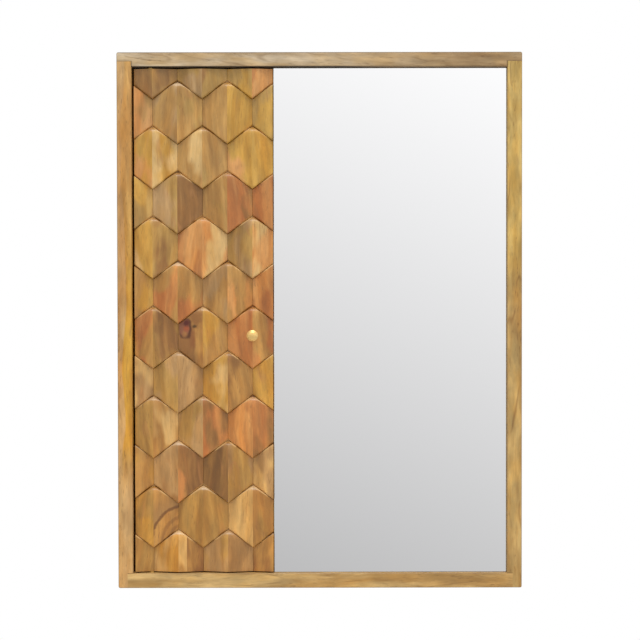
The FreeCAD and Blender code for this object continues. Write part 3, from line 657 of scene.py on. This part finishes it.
TONES = {
    "tan": (colour(186, 140, 72), colour(161, 114, 50)),
    "golden": (colour(197, 150, 64), colour(177, 126, 38)),
    "olive": (colour(180, 140, 71), colour(155, 114, 48)),
    "brown": (colour(157, 112, 55), colour(132, 89, 38)),
    "orange": (colour(210, 151, 84), colour(192, 126, 58)),
    "rust": (colour(190, 128, 66), colour(168, 101, 44)),
    "pale": (colour(211, 172, 108), colour(197, 155, 91)),
    "stone": (colour(182, 143, 91), colour(157, 118, 67)),
    "dark": (colour(140, 102, 48), colour(116, 79, 32)),
}
TONE_NAMES = list(TONES)
TONE_SHARES = (8, 6, 6, 4, 5, 3, 4, 4, 0)
COMPANIONS = {
    "tan": ("golden", "olive", "orange", "brown"),
    "golden": ("tan", "pale", "orange"),
    "olive": ("tan", "stone", "brown", "golden"),
    "brown": ("tan", "olive", "rust"),
    "orange": ("tan", "rust", "golden", "pale"),
    "rust": ("orange", "brown", "tan"),
    "pale": ("golden", "tan", "stone"),
    "stone": ("tan", "olive", "pale", "brown"),
}
KNOT_TILE = (6, 0.0)
# Each mark: its middle, its half width and height, where it starts to fade and ends, strength, tone
KNOT_MARKS = (
    (-0.1840, 0.0040, 0.0190, 0.0200, 0.3, 1.0, 0.85, colour(138, 88, 38)),
    (-0.1898, -0.0240, 0.0092, 0.0250, 0.3, 1.0, 0.85, colour(134, 78, 32)),
    (-0.2010, -0.0310, 0.0150, 0.0180, 0.3, 1.0, 0.75, colour(144, 96, 46)),
    (-0.1998, -0.0112, 0.0096, 0.0152, 0.80, 1.12, 0.9, colour(80, 38, 10)),
    (-0.2016, -0.0096, 0.0086, 0.0138, 0.66, 0.96, 0.95, colour(142, 86, 56)),
    (-0.2006, -0.0196, 0.0066, 0.0070, 0.2, 1.0, 0.8, colour(166, 112, 56)),
    (-0.1984, -0.0112, 0.0052, 0.0080, 0.2, 1.0, 0.75, colour(164, 78, 32)),
    (-0.1984, -0.0038, 0.0072, 0.0066, 0.3, 1.0, 0.95, colour(84, 20, 2)),
    (-0.1866, -0.0080, 0.0046, 0.0042, 0.3, 1.0, 0.9, colour(72, 46, 4)),
)
RING_MIDDLE = (-0.1976, 0.0, -0.3269)
RING_RADIUS = 0.0525
RING_TILE = (10, -1.0)
CHOSEN = {
    KNOT_TILE: (("tan", "brown"), ("golden", "tan")),
    RING_TILE: (("golden", "olive"), ("tan", "tan")),
    (9, 0.5): (("dark", "dark"), ("olive", "stone")),
}


def distance(tree, vector):
    """Length of a vector."""
    return put(tree, "ShaderNodeVectorMath", {0: vector}, operation="LENGTH").outputs["Value"]


def far_from(tree, spot, middle, squeeze, blunt=False):
    """Distance in the door's plane from a point, counted in half widths of an oval or a blunt box."""
    sockets = {"Vector": spot, "Location": middle, "Scale": squeeze}
    place = put(tree, "ShaderNodeMapping", sockets, vector_type="TEXTURE").outputs[0]
    flat = vectors(tree, "MULTIPLY", place, (1.0, 0.0, 1.0))
    if not blunt:
        return distance(tree, flat)
    return sums(tree, "SQRT", distance(tree, vectors(tree, "MULTIPLY", flat, flat)), 0.0)


def tone_ramp(tree, value, which):
    """One of the offcuts' tones, chosen by a value from 0 to 1."""
    node = put(tree, "ShaderNodeValToRGB", {0: value})
    node.color_ramp.interpolation = "CONSTANT"
    while len(node.color_ramp.elements) < len(TONE_NAMES):
        node.color_ramp.elements.new(0.5)
    for index, name in enumerate(TONE_NAMES):
        node.color_ramp.elements[index].position = index / len(TONE_NAMES)
        node.color_ramp.elements[index].color = TONES[name][which]
    return node.outputs[0]


def tone_value(name):
    """Place of a tone on the ramp."""
    return (TONE_NAMES.index(name) + 0.5) / len(TONE_NAMES)


def tile_mark(tree, label):
    """Number that a tile's faces carry under a label."""
    return put(tree, "ShaderNodeAttribute", attribute_name=label).outputs["Fac"]


def blend_value(tree, factor, first, second):
    """Mix of two numbers by a factor."""
    return put(tree, "ShaderNodeMix", {0: factor, 2: first, 3: second}).outputs[0]


def carved_wood(name):
    """Lacquered offcuts: each strip of a tile has its own tone, figure and lean of the grain."""
    material = new_material(name)
    tree = material.node_tree
    coordinates = put(tree, "ShaderNodeTexCoord")
    here = coordinates.outputs["Object"]
    spot = axes(tree, here)
    tone = tile_mark(tree, "tone")
    heart = tile_mark(tree, "heart")
    shift = tile_mark(tree, "shift")
    across = sums(tree, "ADD", spot[0], sums(tree, "MULTIPLY", spot[2], tile_mark(tree, "lean")))
    place = put(tree, "ShaderNodeCombineXYZ", {
        0: sums(tree, "ADD", across, shift),
        1: spot[1],
        2: sums(tree, "ADD", spot[2], sums(tree, "MULTIPLY", shift, 3.7)),
    }).outputs[0]
    patch_place = vectors(tree, "MULTIPLY", place, (1.0, 1.0, 0.5))
    patch = rise(tree, speckle(tree, patch_place, 30.0, 2.0, 0.45).outputs[0], 0.45, 0.57)
    wood = put(tree, "ShaderNodeGroup", {
        "Place": place,
        "Pale": blend(tree, patch, tone_ramp(tree, tone, 0), tone_ramp(tree, heart, 0)),
        "Deep": blend(tree, patch, tone_ramp(tree, tone, 1), tone_ramp(tree, heart, 1)),
        "Vein": colour(168, 116, 64),
        "Vein Amount": 0.45,
        "Vein Run": 1.0,
        "Liveliness": 0.8,
    }, node_tree=figured_wood)
    knot = tile_mark(tree, "knot")
    rings = tile_mark(tree, "rings")
    ragged = rise(tree, speckle(tree, here, 130.0, 2.0).outputs[0], 0.2, 0.8, -0.25, 0.25)
    # Painted light: the tiles are tinted cooler and paler towards the top of the door and warmer
    # towards the bottom, standing in for cool light from above.
    door_height = {"Value": spot[2], "From Min": -0.37, "From Max": 0.37}
    raised = put(tree, "ShaderNodeMapRange", door_height).outputs[0]
    cool_overhead_light_tint = blend(tree, raised, (1.05, 0.91, 0.75, 1.0), (0.99, 1.05, 1.27, 1.0))
    flesh = blend(tree, 1.0, wood.outputs["Colour"], cool_overhead_light_tint, "MULTIPLY")
    for x, z, half_x, half_z, near, edge, amount, mark_tone in KNOT_MARKS:
        crisp = near > 0.5
        far = far_from(tree, here, (x, 0.0, z), (half_x, 1.0, half_z), crisp)
        far = sums(tree, "ADD", far, sums(tree, "MULTIPLY", ragged, 0.35 if crisp else 0.8))
        marked = sums(tree, "MULTIPLY", knot, rise(tree, far, near, edge, amount, 0.0))
        flesh = blend(tree, marked, flesh, mark_tone)
    ring_far = far_from(tree, here, RING_MIDDLE, (RING_RADIUS, 1.0, RING_RADIUS))
    ring_far = sums(tree, "ADD", ring_far, sums(tree, "MULTIPLY", ragged, 0.08))
    fading = rise(tree, ring_far, 1.04, 1.5, 0.6, 0.15)
    heartwood = sums(tree, "MULTIPLY", rise(tree, ring_far, 1.0, 1.03), fading)
    flesh = blend(tree, sums(tree, "MULTIPLY", rings, heartwood), flesh, colour(156, 114, 64))
    for middle, half, amount in ((1.0, 0.06, 0.85), (0.70, 0.08, 0.45), (0.50, 0.06, 0.3)):
        off = sums(tree, "ABSOLUTE", sums(tree, "SUBTRACT", ring_far, middle), 0.0)
        marked = sums(tree, "MULTIPLY", rings, rise(tree, off, 0.2 * half, half, amount, 0.0))
        flesh = blend(tree, marked, flesh, colour(112, 68, 24))
    facing = axes(tree, coordinates.outputs["Normal"])
    # Painted highlight with wear: rolled tip faces that look upwards are blended towards a pale cream
    # on much-worn tiles, standing in for the overhead lamp's highlight as well as sanded-through
    # lacquer; on little-worn tiles they are darkened towards brown, which damps the lamp's highlight
    # there.
    tip_highlight_and_wear_tone = blend(tree, tile_mark(tree, "worn_and_lit"), colour(148, 104, 54), colour(238, 220, 188))
    tips_lit_and_worn = blend(tree, rise(tree, facing[2], 0.38, 0.72, 0.0, 0.6), flesh, tip_highlight_and_wear_tone)
    middle = put(tree, "ShaderNodeAttribute", attribute_name="middle").outputs["Vector"]
    from_middle = vectors(tree, "SUBTRACT", here, middle)
    off_middle = vectors(tree, "ABSOLUTE", from_middle, (0.0, 0.0, 0.0))
    slant = (math.sin(SLOPE), 0.0, math.cos(SLOPE))
    slant_sum = {0: off_middle, 1: slant}
    out = put(tree, "ShaderNodeVectorMath", slant_sum, operation="DOT_PRODUCT").outputs["Value"]
    rim = TILE_TIP * math.cos(SLOPE)
    slanted = rise(tree, out, rim - JOINT_REACH, rim - JOINT_CORE)
    aside = sums(tree, "DIVIDE", axes(tree, off_middle)[0], TILE_HALF)
    upper_half = rise(tree, axes(tree, from_middle)[2], -0.001, 0.001)
    to_tip = blend_value(tree, upper_half, aside, sums(tree, "SUBTRACT", 1.0, aside))
    patchiness = speckle(tree, here, 45.0, 1.0).outputs[0]
    # Painted light: near the upper tips the slanted joints are blended patchily towards a pale tan,
    # lightening their shade.
    light_patches = rise(tree, patchiness, 0.38, 0.54, 0.85, 0.0)
    joint_light = sums(tree, "MULTIPLY", light_patches, rise(tree, to_tip, 0.25, 0.6))
    joints_lit = blend(tree, sums(tree, "MULTIPLY", slanted, joint_light), tips_lit_and_worn, colour(216, 174, 114))
    # Painted shade with grime: a patchy brown darkening along the slanted joints and in the upright
    # valleys, where shade gathers between the tiles.
    joint_shade_and_grime = sums(tree, "MULTIPLY", slanted, rise(tree, patchiness, 0.48, 0.64, 0.0, 0.42))
    upright = rise(tree, aside, 0.84, 0.99)
    valley_shade_and_grime = sums(tree, "MULTIPLY", upright, rise(tree, patchiness, 0.35, 0.65, 0.02, 0.26))
    surface(material, {
        "Base Color": blend(tree, sums(tree, "MAXIMUM", joint_shade_and_grime, valley_shade_and_grime), joints_lit, colour(132, 84, 28)),
        "Roughness": wood.outputs["Roughness"],
        "Normal": bumps(tree, wood.outputs["Height"], 0.3, 0.0003),
        "Specular IOR Level": 0.4,
        "Coat Weight": 0.35,
        "Coat Roughness": 0.26,
    })
    return material


def trim(piece, point, inward):
    """Saw a piece off at a plane and close the cut."""
    bpy.ops.mesh.select_all(action="SELECT")
    bpy.ops.mesh.bisect(plane_co=point, plane_no=inward, use_fill=True, clear_inner=True)


door_left = door_low.x
door_right = door_high.x
door_bottom = door_low.z + TRIM
door_top = door_high.z - TRIM
offcuts = random.Random(23)
tile_finish = carved_wood("carved_offcuts")


def mark_faces(piece, label, value_of):
    """Let each face of a tile carry a number under a label."""
    marks = piece.data.attributes.new(label, "FLOAT", "FACE")
    for face in piece.data.polygons:
        marks.data[face.index].value = value_of(face)


def lay_tile(row, offset):
    """Copy the tile to its place, saw it to the door, and mark the strips it is made of."""
    x = PATTERN_X + offset * COLUMN_PITCH
    z = FIRST_ROW_Z - row * ROW_PITCH
    piece = tile.copy()
    piece.data = tile.data.copy()
    bpy.context.collection.objects.link(piece)
    piece.data.transform(Matrix.Translation((x, offcuts.uniform(0.0, 0.0005), z)))
    bpy.ops.object.select_all(action="DESELECT")
    piece.select_set(True)
    bpy.context.view_layer.objects.active = piece
    seams = [x]
    if offcuts.random() < 0.1 and (row, offset) not in CHOSEN:
        seams.append(x + offcuts.choice((-1, 1)) * offcuts.uniform(0.006, 0.018))
    bpy.ops.object.mode_set(mode="EDIT")
    for seam in seams[1:]:
        bpy.ops.mesh.select_all(action="SELECT")
        bpy.ops.mesh.bisect(plane_co=(seam, 0, 0), plane_no=(1, 0, 0))
    if x - TILE_HALF < door_left:
        trim(piece, (door_left, 0, 0), (1, 0, 0))
    if x + TILE_HALF > door_right:
        trim(piece, (door_right, 0, 0), (-1, 0, 0))
    if z + TILE_TIP > door_top:
        trim(piece, (0, 0, door_top), (0, 0, -1))
    if z - TILE_TIP < door_bottom:
        trim(piece, (0, 0, door_bottom), (0, 0, 1))
    bpy.ops.mesh.select_all(action="SELECT")
    bpy.ops.mesh.normals_make_consistent(inside=False)
    bpy.ops.object.mode_set(mode="OBJECT")
    strips = []
    sap = offcuts.choices(TONE_NAMES, TONE_SHARES)[0]
    for _ in range(len(seams) + 1):
        if offcuts.random() < 0.6:
            sap = offcuts.choices(TONE_NAMES, TONE_SHARES)[0]
        heart = offcuts.choice(COMPANIONS[sap])
        if offcuts.random() < 0.3:
            heart = sap
        strips.append([
            tone_value(sap), tone_value(heart), offcuts.uniform(1.0, 9.0), offcuts.uniform(-0.12, 0.12),
        ])
    for strip, names in zip(strips, CHOSEN.get((row, offset), ())):
        strip[:2] = [tone_value(name) for name in names]

    def strip_of(face):
        return strips[sum(1 for seam in seams if face.center.x > seam)]

    for which, label in enumerate(("tone", "heart", "shift", "lean")):
        mark_faces(piece, label, lambda face: strip_of(face)[which])
    marks = piece.data.attributes.new("middle", "FLOAT_VECTOR", "FACE")
    for face in piece.data.polygons:
        marks.data[face.index].vector = (x, 0.0, z)
    # Per-tile share of the pale tip tone: painted highlight as well as wear.
    wear_and_highlight = max(0.0, offcuts.uniform(-0.9, 0.6) + 0.25 * row / ROW_COUNT)
    mark_faces(piece, "worn_and_lit", lambda face: wear_and_highlight)
    for label, home, half in (("knot", KNOT_TILE, -1), ("rings", RING_TILE, 1)):
        at_home = (row, offset) == home
        mark_faces(piece, label, lambda face: float(at_home and half * (face.center.x - x) > 0))
    return piece


for row in range(ROW_COUNT):
    offsets = (-1.0, 0.0, 1.0) if row % 2 == 0 else (-1.5, -0.5, 0.5, 1.5)
    pieces = [lay_tile(row, offset) for offset in offsets]
    bpy.ops.object.select_all(action="DESELECT")
    for piece in pieces:
        piece.select_set(True)
    bpy.context.view_layer.objects.active = pieces[0]
    bpy.ops.object.join()
    carved_row = bpy.context.object
    carved_row.name = "carved_row_%02d" % (row + 1)
    bpy.ops.object.shade_smooth_by_angle(angle=math.radians(40))
    evened = carved_row.modifiers.new("even_shading", "WEIGHTED_NORMAL")
    evened.keep_sharp = True
    bpy.ops.object.modifier_apply(modifier=evened.name)
    carved_row.data.materials.clear()
    carved_row.data.materials.append(tile_finish)
    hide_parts("carved_tile_row_%02d" % (row + 1))
    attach(carved_row, "door")
bpy.data.objects.remove(tile)


# Knob: turned solid brass, polished, with a waisted neck, a round rim and a low dome. It sits on
# the ridge of its tile, and a screw through the door holds it.

knob_low, knob_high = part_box("knob")
knob_middle = (knob_low + knob_high) / 2
FOOT_R = 0.006
FOOT = 0.0021
NECK_START_R = 0.0058
NECK_START = 0.0025
NECK_END_R = 0.0067
NECK = 0.0103
WAIST = 0.0021
RIM_MIDDLE_R = 0.0070
RIM_MIDDLE = 0.0145
RIM_ROUND = 0.0015
DOME = 0.0030
DOME_SHARE = 0.985
STEPS = 8
profile = [(FOOT_R, 0.0), (FOOT_R, FOOT), (NECK_START_R, NECK_START)]
for step in range(1, STEPS + 1):
    share = step / STEPS
    radius = NECK_START_R + (NECK_END_R - NECK_START_R) * share - WAIST * math.sin(math.pi * share)
    profile.append((radius, NECK_START + NECK * share))
for step in range(1, STEPS + 1):
    angle = -QUARTER + math.pi * step / (STEPS + 1)
    radius = RIM_MIDDLE_R + RIM_ROUND * math.cos(angle)
    profile.append((radius, RIM_MIDDLE + RIM_ROUND * math.sin(angle)))
for step in range(1, STEPS + 1):
    share = step / STEPS
    radius = RIM_MIDDLE_R * math.cos(QUARTER * share * DOME_SHARE)
    profile.append((radius, RIM_MIDDLE + RIM_ROUND + DOME * math.sin(QUARTER * share)))
knob = turned("turned_knob", profile, 64, (knob_middle.x, knob_high.y, knob_middle.z), (0, -1, 0))
bpy.ops.object.shade_smooth_by_angle(angle=math.radians(50))
knob_brass = metal("knob_brass", colour(246, 210, 140), colour(236, 196, 122), 0.42, 0.05, scale=420.0)
knob.data.materials.append(knob_brass)
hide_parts("knob")
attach(knob, "door")


# Studio: a pale floor well below the hung cabinet, greyer where the mirror shows it, white light all
# round that fades downwards in front, which the mirror shows too, and one long soft lamp overhead.

FLOOR_R = 3.2
FLOOR_Z = -1.25
bpy.ops.object.select_all(action="DESELECT")
bpy.ops.mesh.primitive_circle_add(
    vertices=96, radius=FLOOR_R, fill_type="NGON", location=(0, 0, FLOOR_Z),
)
floor = bpy.context.object
floor.name = "studio_floor"
pale_floor = new_material("pale_floor")
tree = pale_floor.node_tree
spot = put(tree, "ShaderNodeTexCoord").outputs["Object"]
cloud = speckle(tree, spot, 2.0, 3.0).outputs[0]
paper = blend(tree, cloud, colour(238, 238, 237), colour(232, 232, 231))
# Painted shade: seen in the mirror the floor is greyer, and greyer still away from its middle, standing
# in for light falling off across it.
away = rise(tree, distance(tree, spot), 0.6, 2.8)
mirrored_shade = blend(tree, away, colour(219, 219, 219), colour(190, 190, 190))
in_mirror = put(tree, "ShaderNodeLightPath").outputs["Is Glossy Ray"]
surface(pale_floor, {"Base Color": blend(tree, in_mirror, paper, mirrored_shade), "Roughness": 0.8})
floor.data.materials.append(pale_floor)

studio = bpy.data.worlds.new("studio")
bpy.context.scene.world = studio
studio.use_nodes = True
tree = studio.node_tree
tree.nodes.clear()
look = axes(tree, put(tree, "ShaderNodeTexCoord").outputs["Generated"])
height = put(tree, "ShaderNodeMapRange", {
    "Value": look[2], "From Min": -0.155, "From Max": 0.105, "To Min": 0.555, "To Max": 1.0,
}).outputs[0]
sideways = put(tree, "ShaderNodeMapRange", {
    "Value": look[0], "From Min": -0.03, "From Max": 0.10, "To Min": -0.047, "To Max": 0.047,
}).outputs[0]
front = sums(tree, "ADD", height, sideways)
behind = rise(tree, look[1], -0.25, 0.0)
all_round = blend(tree, behind, grey(tree, front), (1.0, 1.0, 1.0, 1.0))
light = put(tree, "ShaderNodeBackground", {"Color": all_round, "Strength": 1.0})
put(tree, "ShaderNodeOutputWorld", {0: light.outputs[0]})

lamp = bpy.data.lights.new("key_lamp", "AREA")
lamp.shape = "RECTANGLE"
lamp.size = 2.4
lamp.size_y = 1.0
lamp.energy = 60.0
lamp.color = (1.0, 0.985, 0.96)
key = bpy.data.objects.new("key_lamp", lamp)
key.location = (0.2, -1.35, 3.3)
key.rotation_euler = (Vector((0, -0.1, 0)) - key.location).to_track_quat("-Z", "Y").to_euler()
bpy.context.collection.objects.link(key)

lens = bpy.data.cameras.new("camera")
lens.lens = 113.8
lens.sensor_width = 36.0
camera = bpy.data.objects.new("camera", lens)
camera.location = (-0.00235, -3.129, 0.0785)
camera.rotation_euler = (math.radians(90 - 1.476), math.radians(0.091), math.radians(-0.055))
bpy.context.collection.objects.link(camera)
bpy.context.scene.camera = camera
bpy.context.scene.view_settings.view_transform = "Standard"
